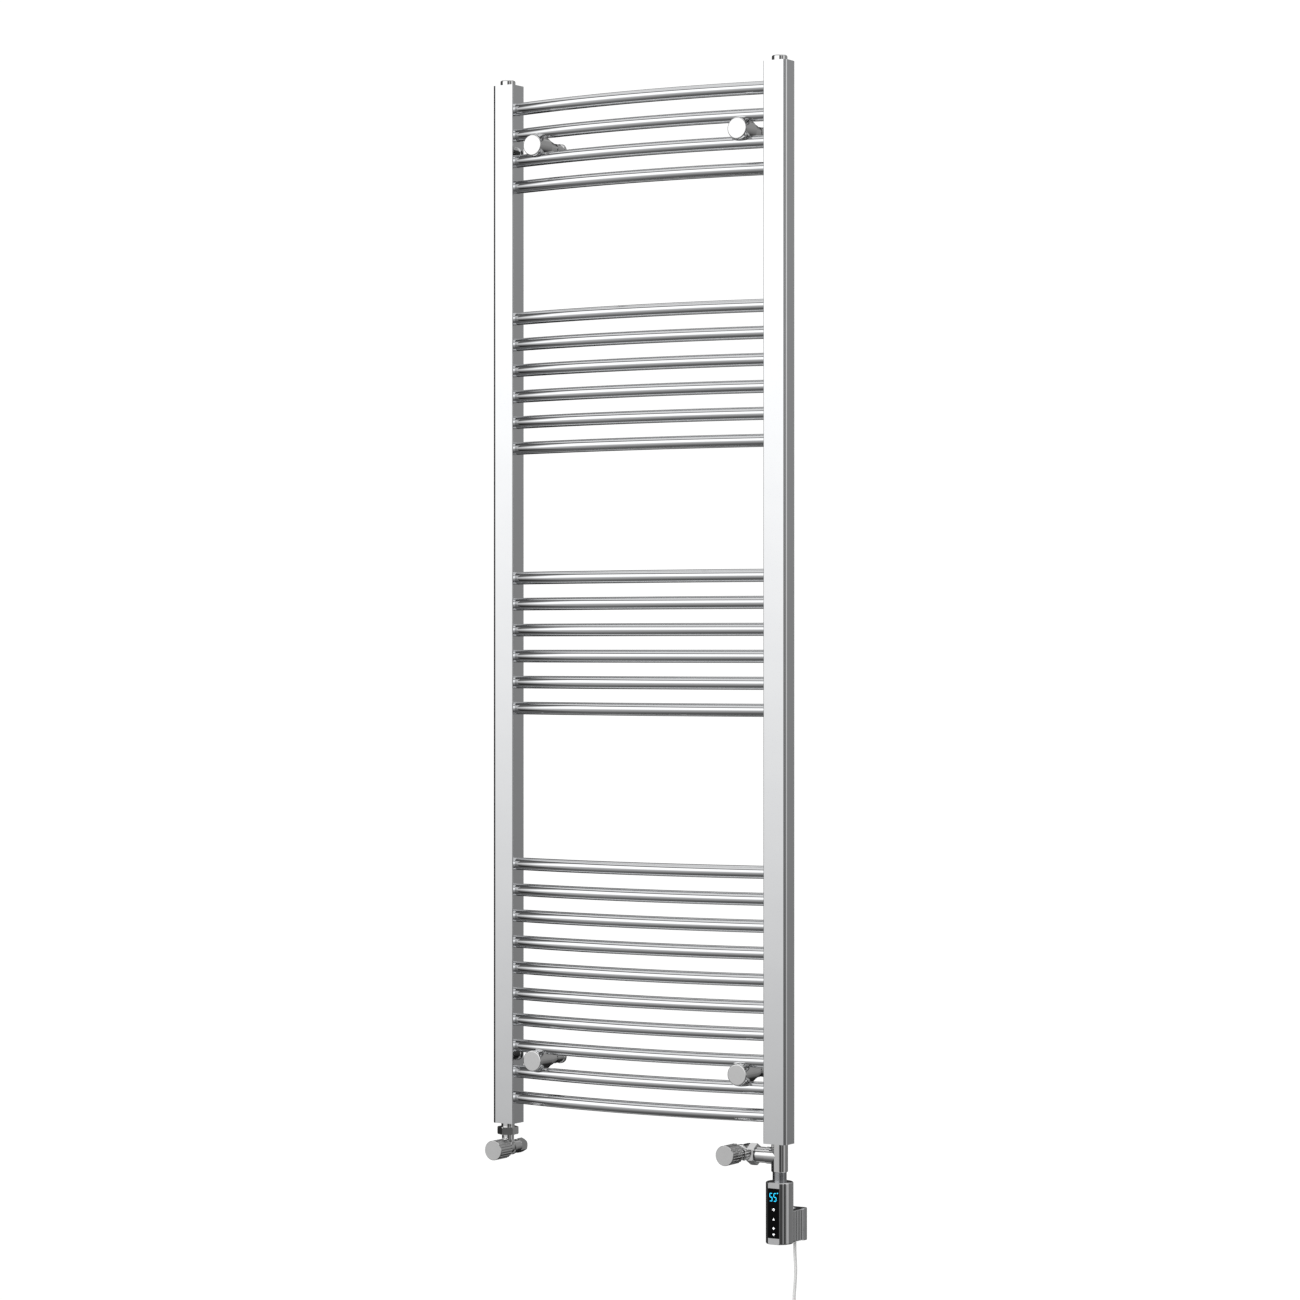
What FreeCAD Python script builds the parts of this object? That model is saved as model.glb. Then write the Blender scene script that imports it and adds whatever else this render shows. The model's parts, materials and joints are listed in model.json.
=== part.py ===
import FreeCAD, Part
import Sketcher
import math
import os
import re

# Dual-fuel ladder towel radiator with two angled valves and a thermostatic heating element.
# Frame: the origin is the middle of the wall fixing pattern on the wall plane.
# +Z is up, +Y points into the wall, so the front of the radiator faces -Y, and +X is to the right.
# The right-hand side carries the tee piece, the heating element and its thermostat.

doc = FreeCAD.newDocument("towel_radiator")
Vector = FreeCAD.Vector

SIZES = {
    # overall and wall
    "height_over": 1800.0,
    "width_over": 584.0,
    "front_gap": 84.0,           # wall plane to the front faces of the uprights
    "low_z": -901.5,             # bottom ends of the uprights
    # uprights: D-section tube, rounded on the outer side
    "upright_width": 43.0,
    "upright_depth": 36.0,
    "upright_wall": 1.5,
    "outer_round": 8.5,
    "inner_round": 1.8,
    "plate_thick": 3.2,
    "thread_half": 10.3,         # half-inch tapping in the end plates
    # bars: bowed round tubes
    "bar_radius": 11.0,
    "bar_wall": 1.2,
    "bar_sagitta": 24.5,
    "bar_pitch": 45.0,
    # brackets
    "bracket_x": 203.5,
    "bracket_z": 789.0,
    "cap_radius": 18.2,
    "arm_radius": 10.2,
    "rod_radius": 7.0,
    "slide_fit": 0.05,
    "fixing_radius": 2.75,
    # valves
    "pipe_radius": 7.6,
    "handle_radius": 16.9,
    "handle_length": 36.6,
    "spindle_radius": 3.0,
    "turn_fit": 0.05,
    "left_valve_drop": 44.0,     # valve axis below the upright
    "right_valve_drop": 21.0,
    "right_valve_x": 191.4,
    # tee, element and head
    "tee_radius": 14.0,
    "tee_length": 47.0,
    "neck_radius": 11.8,
    "neck_length": 16.0,
    "rod_length": 700.0,
    "head_radius": 23.0,
    "head_length": 103.0,
    "head_flat": 20.4,           # axis of the head to its front flat
    "glass_width": 21.3,
    "glass_height": 83.0,
    "glass_thick": 1.2,
    # mains lead
    "cord_radius": 2.6,
    "hank_width": 42.0,
    "hank_depth": 27.0,
    "hank_height": 140.0,
}

sheet = doc.addObject("Spreadsheet::Sheet", "sizes")
for row, (alias, value) in enumerate(SIZES.items(), start=1):
    sheet.set(f"A{row}", alias)
    sheet.set(f"B{row}", str(value))
    sheet.setAlias(f"B{row}", alias)
doc.recompute()

S = SIZES
WORD = re.compile(r"[a-z_]+")


def link(text):
    """Sizes named in the text become references to the sheet's cells."""
    return WORD.sub(lambda word: "sizes." + word.group() if word.group() in S else word.group(), str(text))


def bind(item, **rules):
    for name, rule in rules.items():
        item.setExpression(name, link(rule))
    return item


def place(item, x=0, y=0, z=0, along="z"):
    """Put an item at x, y, z, with its own +Z turned to the direction named."""
    directions = {
        "z": Vector(0, 0, 1), "-z": Vector(0, 0, -1), "y": Vector(0, 1, 0),
        "-y": Vector(0, -1, 0), "x": Vector(1, 0, 0), "-x": Vector(-1, 0, 0),
    }
    item.Placement = FreeCAD.Placement(Vector(), FreeCAD.Rotation(Vector(0, 0, 1), directions[along]))
    for axis, rule in zip("xyz", (x, y, z)):
        item.setExpression(f"Placement.Base.{axis}", link(rule))
    return item


def cylinder(name, radius, length, x=0, y=0, z=0, along="z"):
    item = doc.addObject("Part::Cylinder", name)
    bind(item, Radius=radius, Height=length)
    return place(item, x, y, z, along)


def cone(name, radius_1, radius_2, length, x=0, y=0, z=0, along="z"):
    item = doc.addObject("Part::Cone", name)
    bind(item, Radius1=radius_1, Radius2=radius_2, Height=length)
    return place(item, x, y, z, along)


def box(name, size, centre):
    """A block centred on x and y, standing on z."""
    item = doc.addObject("Part::Box", name)
    bind(item, Length=size[0], Width=size[1], Height=size[2])
    x = f"({centre[0]}) - ({size[0]}) / 2"
    y = f"({centre[1]}) - ({size[1]}) / 2"
    return place(item, x, y, centre[2])


def prism(name, across_flats, length, x=0, y=0, z=0, along="z", turn=0.0):
    """A hexagonal bar with the given size across its flats."""
    item = doc.addObject("Part::Prism", name)
    item.Polygon = 6
    bind(item, Circumradius=f"({across_flats}) / 2 / cos(30 deg)", Height=length)
    place(item, x, y, z, along)
    spin = FreeCAD.Rotation(Vector(0, 0, 1), turn)
    item.Placement.Rotation = item.Placement.Rotation.multiply(spin)
    return item


def fuse(name, *items):
    item = doc.addObject("Part::MultiFuse", name)
    item.Shapes = list(items)
    return item


def cut(name, base, tool):
    item = doc.addObject("Part::Cut", name)
    item.Base = base
    item.Tool = tool
    return item


def common(name, base, tool):
    item = doc.addObject("Part::Common", name)
    item.Base = base
    item.Tool = tool
    return item


def group(name, *items):
    """Several separate solids kept together."""
    item = doc.addObject("Part::Compound", name)
    item.Links = list(items)
    return item


def moved(name, source, x=0, y=0, z=0, axis=(0, 0, 1), degrees=0.0):
    """The same piece again in another place."""
    item = doc.addObject("Part::Compound", name)
    item.Links = [source]
    item.Placement = FreeCAD.Placement(Vector(), FreeCAD.Rotation(Vector(*axis), degrees))
    for letter, rule in zip("xyz", (x, y, z)):
        item.setExpression(f"Placement.Base.{letter}", link(rule))
    return item


def round_edges(name, base, radius, wanted):
    """Round the edges of base for which wanted(edge) is true."""
    doc.recompute()
    item = doc.addObject("Part::Fillet", name)
    item.Base = base
    edges = [n for n, edge in enumerate(base.Shape.Edges, start=1) if wanted(edge)]
    item.Edges = [(n, radius, radius) for n in edges]
    doc.recompute()
    return item


def bevel_edges(name, base, size, wanted):
    doc.recompute()
    item = doc.addObject("Part::Chamfer", name)
    item.Base = base
    edges = [n for n, edge in enumerate(base.Shape.Edges, start=1) if wanted(edge)]
    item.Edges = [(n, size, size) for n in edges]
    doc.recompute()
    return item


def is_round(edge, radius):
    curve = edge.Curve
    return isinstance(curve, Part.Circle) and abs(curve.Radius - radius) < 1e-6


parts = {}


def part(name, item):
    """Register a finished piece under its node name."""
    item.Label = name
    parts[name] = item


# ---- places that several pieces share ----

FRONT = "(-front_gap)"                         # plane of the uprights' front faces
MIDDLE = "(-front_gap + upright_depth / 2)"    # bars and fittings are centred in the uprights
UPRIGHT_X = "((width_over - upright_width) / 2)"
inner_x = S["width_over"] / 2 - S["upright_width"]
bow_radius = (inner_x**2 + S["bar_sagitta"] ** 2) / (2 * S["bar_sagitta"])
bar_end = inner_x + 5.0                        # bars pass through the inner wall and end inside the tube
bow_half = math.degrees(math.asin(bar_end / bow_radius))
bow_centre_y = -S["front_gap"] + S["upright_depth"] / 2 - S["bar_sagitta"] + bow_radius

bar_steps = [*range(0, 10), *range(15, 21), *range(25, 31), *range(35, 39)]
top_group_lift = 3.0                           # the top group sits a little higher than the pitch
bar_heights = [
    S["low_z"] + S["bar_pitch"] * (1 + step) + (top_group_lift if step >= 35 else 0.0)
    for step in bar_steps
]


# ---- bars ----

def bowed_rod(name, radius, height, half_angle):
    """Part of a ring: a round rod bowed towards the front."""
    item = doc.addObject("Part::Torus", name)
    item.Radius1 = bow_radius
    bind(item, Radius2=radius)
    item.Angle3 = 2 * half_angle
    turn = FreeCAD.Rotation(Vector(0, 0, 1), 270 - half_angle)
    item.Placement = FreeCAD.Placement(Vector(0, bow_centre_y, height), turn)
    return item


bar_rods = []
for number, height in enumerate(bar_heights, start=1):
    rod = bowed_rod(f"rod_{number:02d}", "bar_radius", height, bow_half)
    bore = bowed_rod(f"bar_bore_{number:02d}", "bar_radius - bar_wall", height, bow_half + 0.1)
    bore.Placement.Rotation = FreeCAD.Rotation(Vector(0, 0, 1), 270 - bow_half - 0.1)
    part(f"bar_{number:02d}", cut(f"tube_{number:02d}", rod, bore))
    bar_rods.append(rod)
all_rods = group("all_rods", *bar_rods)


# ---- uprights, with their welded end plates ----

def d_section(name, side, shrink, low, length):
    """A D-section bar: large rounds on the outer side, small ones on the inner side."""
    blank = box(
        name + "_blank",
        (f"upright_width - 2 * {shrink}", f"upright_depth - 2 * {shrink}", length),
        (f"{side} * {UPRIGHT_X}", MIDDLE, low),
    )
    doc.recompute()
    centre = side * (S["width_over"] - S["upright_width"]) / 2

    def upright_edge(edge):
        return abs(edge.BoundBox.ZLength - edge.Length) < 1e-6

    def outer_side(edge):
        return (edge.CenterOfMass.x - centre) * side > 0

    item = doc.addObject("Part::Fillet", name)
    item.Base = blank
    rounds = []
    for n, edge in enumerate(blank.Shape.Edges, start=1):
        if upright_edge(edge):
            radius = (S["outer_round"] if outer_side(edge) else S["inner_round"]) - shrink
            rounds.append((n, radius, radius))
    item.Edges = rounds
    doc.recompute()
    return item


for side, word in ((-1, "left"), (1, "right")):
    shell = d_section(f"{word}_shell", side, 0, "low_z", "height_over")
    hollow = d_section(
        f"{word}_hollow", side, S["upright_wall"], "low_z + plate_thick", "height_over - 2 * plate_thick"
    )
    tapping = cylinder(
        f"{word}_tapping", "thread_half", "height_over + 20", f"{side} * {UPRIGHT_X}", MIDDLE, "low_z - 10"
    )
    tube = cut(f"{word}_tube", shell, fuse(f"{word}_space", hollow, tapping))
    part(f"upright_{word}", cut(f"{word}_drilled", tube, all_rods))


# ---- plugs in the top of the uprights ----

def top_cap(word, side):
    """Round chrome cap on a threaded shank."""
    x = f"{side} * {UPRIGHT_X}"
    top = "low_z + height_over"
    head = cylinder(f"{word}_cap_head", "13", "9.5", x, MIDDLE, top)
    high = S["low_z"] + S["height_over"] + 9.5
    head = round_edges(
        f"{word}_cap_round", head, 2.6, lambda e: is_round(e, 13) and e.CenterOfMass.z > high - 1
    )
    shank = cylinder(f"{word}_cap_shank", "thread_half", "9", x, MIDDLE, f"{top} - 9")
    return fuse(f"{word}_cap", head, shank)


vent_hole = cylinder(
    "vent_hole", "spindle_radius + turn_fit", "30", f"-{UPRIGHT_X}", MIDDLE, "low_z + height_over - 10"
)
part("vent_plug", cut("vent_body", top_cap("vent", -1), vent_hole))

vent_pin = cylinder(
    "vent_pin", "spindle_radius", "16.5", f"-{UPRIGHT_X}", MIDDLE, "low_z + height_over - 6"
)
vent_slot = box("vent_slot", ("1.0", "10", "4"), (f"-{UPRIGHT_X}", MIDDLE, "low_z + height_over + 9.2"))
part("vent_screw", cut("vent_key", vent_pin, vent_slot))

key_socket = prism("key_socket", "12", "20", UPRIGHT_X, MIDDLE, "low_z + height_over + 4")
part("blanking_plug", cut("blank_body", top_cap("blank", 1), key_socket))


# ---- wall brackets: clamp cap, saddle with arm, clamp screw, wall socket, grub screw ----

cap_front = -9.0         # these depths are from the uprights' front plane, towards the wall
cap_back = -2.0
saddle_back = 30.0
cone_back = 56.0
socket_front = 59.5      # leaves the arm 3.5 mm to go back
rod_back = 78.0
socket_floor = 81.5
places = [(sx, sz) for sz in (1, -1) for sx in (-1, 1)]
caps, saddles, clamp_screws, sockets, grubs = [], [], [], [], []
for number, (sx, sz) in enumerate(places, start=1):
    x = f"{sx} * bracket_x"
    z = f"{sz} * bracket_z"
    cap = cylinder(
        f"clamp_cap_{number}", "cap_radius", cap_back - cap_front, x, f"{FRONT} + {cap_front}", z, "y"
    )
    front_y = cap_front - S["front_gap"]
    cap = round_edges(
        f"clamp_face_{number}", cap, 1.9,
        lambda e: is_round(e, S["cap_radius"]) and abs(e.CenterOfMass.y - front_y) < 0.1,
    )
    stud_hole = cylinder(f"stud_hole_{number}", "2.5", "4.5", x, f"{FRONT} + {cap_back} - 4.5", z, "y")
    caps.append(cut(f"cap_{number}", cut(f"cap_grooved_{number}", cap, all_rods), stud_hole))

    saddle_y = f"{FRONT} + {saddle_back}"
    key_y = f"{FRONT} + {saddle_back} - 6"
    seat = cylinder(f"seat_{number}", "17", saddle_back - cap_back, x, f"{FRONT} + {cap_back}", z, "y")
    taper = cone(f"taper_{number}", "16.2", "arm_radius", cone_back - saddle_back, x, saddle_y, z, "y")
    rod_y = f"{FRONT} + {cone_back}"
    rod = cylinder(f"arm_rod_{number}", "rod_radius", rod_back - cone_back, x, rod_y, z, "y")
    arm = fuse(f"arm_{number}", seat, taper, rod)
    passage = cylinder(f"screw_way_{number}", "2.5", "80", x, f"{FRONT} + {cap_back} - 1", z, "y")
    access = cylinder(f"key_way_{number}", "5", "60", x, key_y, z, "y")
    arm = cut(f"arm_bored_{number}", arm, fuse(f"arm_bore_{number}", passage, access))
    saddles.append(cut(f"arm_grooved_{number}", arm, all_rods))

    stem_length = saddle_back - 6 - cap_back + 4.5
    stem = cylinder(f"screw_stem_{number}", "2.5", stem_length, x, f"{FRONT} + {cap_back} - 4.5", z, "y")
    head = cylinder(f"screw_head_{number}", "4.4", "4", x, key_y, z, "y")
    key = prism(f"screw_key_{number}", "4", "3", x, f"{key_y} + 1.5", z, "y")
    clamp_screws.append(cut(f"clamp_screw_{number}", fuse(f"screw_blank_{number}", stem, head), key))

    mouth_y = f"{FRONT} + {socket_front}"
    sleeve = cylinder(f"sleeve_{number}", "arm_radius", f"front_gap - {socket_front}", x, mouth_y, z, "y")
    flange = cylinder(f"flange_{number}", "12", "6", x, "-6", z, "y")
    flange = round_edges(
        f"flange_round_{number}", flange, 1.6, lambda e: is_round(e, 12) and abs(e.CenterOfMass.y + 6) < 0.1
    )
    guide = cylinder(
        f"guide_{number}", "rod_radius + slide_fit", socket_floor - socket_front, x, mouth_y, z, "y"
    )
    fixing = cylinder(f"fixing_{number}", "fixing_radius", "20", x, "-10", z, "y")
    grub_y = f"{mouth_y} + 6"
    grub_hole = cylinder(f"grub_hole_{number}", "2", "8", x, grub_y, f"{z} - 5", "-z")
    bores = fuse(f"socket_bores_{number}", guide, fixing, grub_hole)
    sockets.append(cut(f"socket_{number}", fuse(f"socket_blank_{number}", sleeve, flange), bores))

    grub = cylinder(f"grub_{number}", "2", "3.2", x, grub_y, f"{z} - rod_radius - 0.4", "-z")
    grub_key = prism(f"grub_key_{number}", "2", "3", x, grub_y, f"{z} - rod_radius - 2.2", "-z")
    grubs.append(cut(f"grub_screw_{number}", grub, grub_key))

part("bracket_caps", group("caps", *caps))
part("bracket_arms", group("arms", *saddles))
part("bracket_screws", group("clamp_screws", *clamp_screws))
part("wall_sockets", group("sockets", *sockets))
part("grub_screws", group("grubs", *grubs))


# ---- angled valve, drawn once with its spindle axis on Y and its union neck along +Z ----
# Depths along Y are from the middle plane of the uprights, where the union axis lies.

handle_face = -47.0
handle_back = handle_face + S["handle_length"]
bonnet_back = -8.0
spindle_end = 8.0
disc_front = 8.4
disc_thick = 4.0
seat_front = 17.3
pipe_stop = 22.0
thread_back = 36.0
nut_back = 45.0
nut_low = 24.0           # distances of the union nut from the spindle axis
nut_high = 37.0
collar_low = 31.0
collar_high = 35.0

trunk = cylinder("trunk", "11.8", 28 - bonnet_back, 0, bonnet_back, 0, "y")
ring = cylinder("trunk_ring", "13.2", "5", 0, "6", 0, "y")
thread = cylinder("inlet_thread", "9.9", thread_back - 28, 0, 28, 0, "y")
branch = cylinder("branch", "10.5", nut_low, 0, 0, 0)
branch_foot = cone("branch_foot", "12.6", "10.5", "4", 0, 0, 11.2)
union_thread = cylinder("union_thread", "12.8", collar_low - nut_low + 1, 0, 0, nut_low - 1)
valve_blank = fuse("valve_blank", trunk, ring, thread, branch, branch_foot, union_thread)
chamber = cylinder("chamber", "8", seat_front - bonnet_back, 0, bonnet_back, 0, "y")
seat_way = cylinder("seat_way", "5", "20", 0, seat_front - 5, 0, "y")
pipe_way = cylinder("pipe_way", "pipe_radius", thread_back - pipe_stop, 0, pipe_stop, 0, "y")
neck_way = cylinder("neck_way", "6.5", "40", 0, 0, 0)
handle_room = cylinder("handle_room", "handle_radius + 1", "20", 0, bonnet_back - 20, 0, "y")
valve_ways = fuse("valve_ways", chamber, seat_way, pipe_way, neck_way, handle_room)
valve_body = cut("valve_body", valve_blank, valve_ways)

bonnet_head = cylinder("bonnet_head", "11", "5", 0, bonnet_back - 5, 0, "y")
bonnet_thread = cylinder("bonnet_thread", "8", "10", 0, bonnet_back, 0, "y")
bonnet_way = cylinder("bonnet_way", "spindle_radius + turn_fit", "40", 0, bonnet_back - 20, 0, "y")
bonnet = cut("bonnet", fuse("bonnet_blank", bonnet_head, bonnet_thread), bonnet_way)

spindle = cylinder("spindle", "spindle_radius", spindle_end - handle_face - 8, 0, handle_face + 8, 0, "y")
valve_disc = round_edges(
    "valve_disc", cylinder("disc_blank", "7.4", disc_thick, 0, disc_front, 0, "y"), 0.8,
    lambda e: is_round(e, 7.4) and e.CenterOfMass.y > disc_front + 1,
)

nut_ball = doc.addObject("Part::Sphere", "nut_ball")
nut_ball.Radius = 19.0
place(nut_ball, 0, 0, (nut_low + nut_high) / 2)
nut_lip = cylinder("nut_lip", "11.6", "40", 0, 0, nut_low)
nut_thread = cylinder("nut_thread", "12.8", collar_high - nut_low, 0, 0, nut_low)
nut_ways = fuse("nut_ways", nut_lip, nut_thread)


def union_nut(word, turn):
    """The left nut shows a corner in front, the right one a flat."""
    nut_hex = prism(f"{word}_nut_hex", "32", nut_high - nut_low, 0, 0, nut_low, "z", turn)
    return cut(f"{word}_union_nut", common(f"{word}_nut_rounded", nut_hex, nut_ball), nut_ways)


gland_hex = prism("gland_hex", "22.2", nut_back - 28, 0, 28, 0, "y", 30.0)
gland_dome = doc.addObject("Part::Sphere", "gland_dome")
gland_dome.Radius = 15.4
place(gland_dome, 0, 34.6, 0)
gland_thread = cylinder("gland_thread", "9.9", thread_back - 28, 0, 28, 0, "y")
olive_room = cone("olive_room", "9.2", "8.3", nut_back - 4 - thread_back, 0, thread_back, 0, "y")
gland_way = cylinder("gland_way", "pipe_radius", "60", 0, 20, 0, "y")
compression_nut = cut(
    "compression_nut",
    common("gland_rounded", gland_hex, gland_dome),
    fuse("gland_ways", gland_thread, olive_room, gland_way),
)
olive_blank = cone("olive_blank", "9.2", "8.3", nut_back - 4 - thread_back, 0, thread_back, 0, "y")
olive = cut("olive", olive_blank, cylinder("olive_way", "pipe_radius", "60", 0, 20, 0, "y"))


# Handle: a turned cylinder with a flat face, fluted along its side, made as a body.

def sketch_on(body, name, role):
    """A sketch attached to one of the body's own origin planes."""
    sketch = body.newObject("Sketcher::SketchObject", name)
    plane = next(o for o in body.Origin.OriginFeatures if o.Role == role)
    sketch.AttachmentSupport = [(plane, "")]
    sketch.MapMode = "FlatFace"
    return sketch


def circle(sketch, radius, x=0.0, y=0.0):
    """A circle whose radius follows the sheet, held at x, y of the sketch."""
    index = sketch.addGeometry(Part.Circle(Vector(x, y, 0), Vector(0, 0, 1), 1.0))
    if x == 0.0 and y == 0.0:
        sketch.addConstraint(Sketcher.Constraint("Coincident", index, 3, -1, 1))
    else:
        sketch.addConstraint(Sketcher.Constraint("DistanceX", -1, 1, index, 3, x))
        sketch.addConstraint(Sketcher.Constraint("DistanceY", -1, 1, index, 3, y))
    number = sketch.addConstraint(Sketcher.Constraint("Radius", index, 1.0))
    sketch.setExpression(f"Constraints[{number}]", link(radius))
    return index


flutes = 22
grip = doc.addObject("PartDesign::Body", "grip")
face = sketch_on(grip, "grip_face", "XY_Plane")
circle(face, "handle_radius")
barrel = grip.newObject("PartDesign::Pad", "grip_barrel")
barrel.Profile = face
bind(barrel, Length="handle_length")
doc.recompute()
rim = grip.newObject("PartDesign::Chamfer", "grip_rim")
round_ones = [n for n, e in enumerate(barrel.Shape.Edges, start=1) if isinstance(e.Curve, Part.Circle)]
rim.Base = (barrel, [f"Edge{n}" for n in round_ones])
rim.Size = 0.7
flute_sketch = sketch_on(grip, "flute_sketch", "XY_Plane")
flute_sketch.AttachmentOffset = FreeCAD.Placement(Vector(0, 0, 2.4), FreeCAD.Rotation())
circle(flute_sketch, "1.8", S["handle_radius"] + 0.7, 0.001)
flute = grip.newObject("PartDesign::Pocket", "flute")
flute.Profile = flute_sketch
bind(flute, Length="handle_length")
flute.Reversed = True
flute_ring = grip.newObject("PartDesign::PolarPattern", "flute_ring")
flute_ring.Originals = [flute]
flute_ring.Axis = (flute_sketch, ["N_Axis"])
flute_ring.Angle = 360
flute_ring.Occurrences = flutes
grip.Tip = flute_ring
hub_sketch = sketch_on(grip, "hub_sketch", "XY_Plane")
hub_sketch.AttachmentOffset = FreeCAD.Placement(Vector(0, 0, 8), FreeCAD.Rotation())
circle(hub_sketch, "spindle_radius")
hub = grip.newObject("PartDesign::Pocket", "hub")
hub.Profile = hub_sketch
bind(hub, Length="handle_length")
hub.Reversed = True
skirt_sketch = sketch_on(grip, "skirt_sketch", "XY_Plane")
skirt_face = Vector(0, 0, S["handle_length"] - 5.6)
skirt_sketch.AttachmentOffset = FreeCAD.Placement(skirt_face, FreeCAD.Rotation())
circle(skirt_sketch, "12")
skirt = grip.newObject("PartDesign::Pocket", "skirt")
skirt.Profile = skirt_sketch
bind(skirt, Length="handle_length")
skirt.Reversed = True
grip.Tip = skirt
doc.recompute()
handle = doc.addObject("Part::Compound", "handle")
handle.Links = [grip]
onto_y = FreeCAD.Rotation(Vector(0, 0, 1), Vector(0, 1, 0))
handle.Placement = FreeCAD.Placement(Vector(0, handle_face, 0), onto_y)


def left_valve(name, piece):
    return moved(name, piece, f"-{UPRIGHT_X}", MIDDLE, "low_z - left_valve_drop")


def right_valve(name, piece):
    """Turned a quarter about Y, so that the union neck points to the tee piece."""
    return moved(name, piece, "right_valve_x", MIDDLE, "low_z - right_valve_drop", (0, 1, 0), 90.0)


singles = {"valve_body": valve_body, "spindle": spindle, "valve_disc": valve_disc, "handle": handle}
for name, piece in singles.items():
    part(f"left_{name}", left_valve(f"left_{name}_piece", piece))
    part(f"right_{name}", right_valve(f"right_{name}_piece", piece))
pairs = {
    "valve_bonnets": bonnet,
    "compression_nuts": compression_nut,
    "olives": olive,
}
for name, piece in pairs.items():
    both = left_valve(f"{name}_left", piece), right_valve(f"{name}_right", piece)
    part(name, group(f"{name}_pair", *both))
left_nut = left_valve("union_nuts_left", union_nut("left", 30.0))
right_nut = right_valve("union_nuts_right", union_nut("right", 0.0))
part("union_nuts", group("union_nuts_pair", left_nut, right_nut))


# ---- tail of the left valve, screwed into the upright ----

left_axis = f"-{UPRIGHT_X}"
left_collar = "low_z - left_valve_drop"
tail_shank = cylinder("tail_shank", "thread_half", "9", left_axis, MIDDLE, "low_z")
neck_z = f"{left_collar} + {collar_high}"
tail_neck = cylinder("tail_neck", "11.6", f"left_valve_drop - {collar_high}", left_axis, MIDDLE, neck_z)
collar_z = f"{left_collar} + {collar_low} + 1"
collar_thick = collar_high - collar_low - 1
tail_collar = cylinder("tail_collar", "12.8", collar_thick, left_axis, MIDDLE, collar_z)
tail_way = cylinder("tail_way", "6.5", "60", left_axis, MIDDLE, "low_z - 30")
part("left_tail", cut("tail", fuse("tail_blank", tail_shank, tail_neck, tail_collar), tail_way))


# ---- tee piece: carries the right valve on its branch and the element in its run ----

branch_z = "low_z - right_valve_drop"
tee_shank = cylinder("tee_shank", "thread_half", "9", UPRIGHT_X, MIDDLE, "low_z")
tee_run = cylinder("tee_run", "tee_radius", "tee_length", UPRIGHT_X, MIDDLE, "low_z - tee_length")
low_end = S["low_z"] - S["tee_length"]
tee_run = bevel_edges(
    "tee_run_bevelled", tee_run, 1.0,
    lambda e: is_round(e, S["tee_radius"]) and e.CenterOfMass.z < low_end + 1,
)
branch_x = f"right_valve_x + {collar_high}"
arm_x = f"right_valve_x + {nut_high} + 0.4"
tee_arm = cylinder("tee_arm", "13.2", f"{UPRIGHT_X} - ({arm_x})", arm_x, MIDDLE, branch_z, "x")
root_x = "right_valve_x + 56"
tee_root = cylinder("tee_root", "tee_radius", f"{UPRIGHT_X} - ({root_x})", root_x, MIDDLE, branch_z, "x")
collar_x = f"right_valve_x + {collar_low} + 1"
tee_collar = cylinder("tee_collar", "12.8", collar_thick, collar_x, MIDDLE, branch_z, "x")
tee_lip = cylinder("tee_lip", "11.6", "3.5", branch_x, MIDDLE, branch_z, "x")
tee_way = cylinder("tee_way", "8.4", "80", UPRIGHT_X, MIDDLE, "low_z - tee_length - 1")
tee_thread = cylinder("tee_thread", "9.6", "9", UPRIGHT_X, MIDDLE, "low_z - tee_length - 1")
branch_way = cylinder(
    "branch_way", "6.5", f"{UPRIGHT_X} - right_valve_x - 20", "right_valve_x + 20", MIDDLE, branch_z, "x"
)
tee_blank = fuse("tee_blank", tee_shank, tee_run, tee_arm, tee_root, tee_collar, tee_lip)
part("tee_piece", cut("tee", tee_blank, fuse("tee_ways", tee_way, tee_thread, branch_way)))


# ---- heating element: sheathed rod standing in the right upright, with its screwed neck ----

neck_top = "low_z - tee_length"
neck_low = f"{neck_top} - neck_length"
element_neck = cylinder("element_neck", "neck_radius", "neck_length", UPRIGHT_X, MIDDLE, neck_low)
element_thread = cylinder("element_thread", "9.6", "8", UPRIGHT_X, MIDDLE, neck_top)
element_rod = cylinder("element_rod", "6", "rod_length", UPRIGHT_X, MIDDLE, neck_top)
rod_top = S["low_z"] - S["tee_length"] + S["rod_length"]
element_rod = round_edges(
    "element_tip", element_rod, 5.0, lambda e: is_round(e, 6) and e.CenterOfMass.z > rod_top - 1
)
part("heating_element", fuse("element", element_neck, element_thread, element_rod))


# ---- thermostat head ----

head_top = "(low_z - tee_length - neck_length)"
head_low = f"({head_top} - head_length)"
head_high_z = S["low_z"] - S["tee_length"] - S["neck_length"]
drum = cylinder("drum", "head_radius", "head_length", UPRIGHT_X, MIDDLE, head_low)
drum = round_edges("drum_round", drum, 2.4, lambda e: is_round(e, S["head_radius"]))
facet_place = (UPRIGHT_X, f"{MIDDLE} - head_flat - 10", f"{head_low} - 5")
facet = box("facet", ("60", "20", "head_length + 10"), facet_place)
glass_low = f"({head_top} - 9.5 - glass_height)"
glass_y = f"({MIDDLE} - head_flat + glass_thick / 2)"
glass_size = ("glass_width", "glass_thick", "glass_height")
glass_bed = box("glass_bed", glass_size, (UPRIGHT_X, glass_y, glass_low))
inside = cylinder("inside", "18.4", "head_length - 5", UPRIGHT_X, MIDDLE, f"{head_low} + 2.5")
back_door = box("back_door", ("24", "12", "42"), (UPRIGHT_X, f"{MIDDLE} + 19", f"{head_low} + 6"))
part(
    "thermostat_housing",
    cut("housing", cut("drum_flat", drum, facet), fuse("housing_space", glass_bed, inside, back_door)),
)
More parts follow.
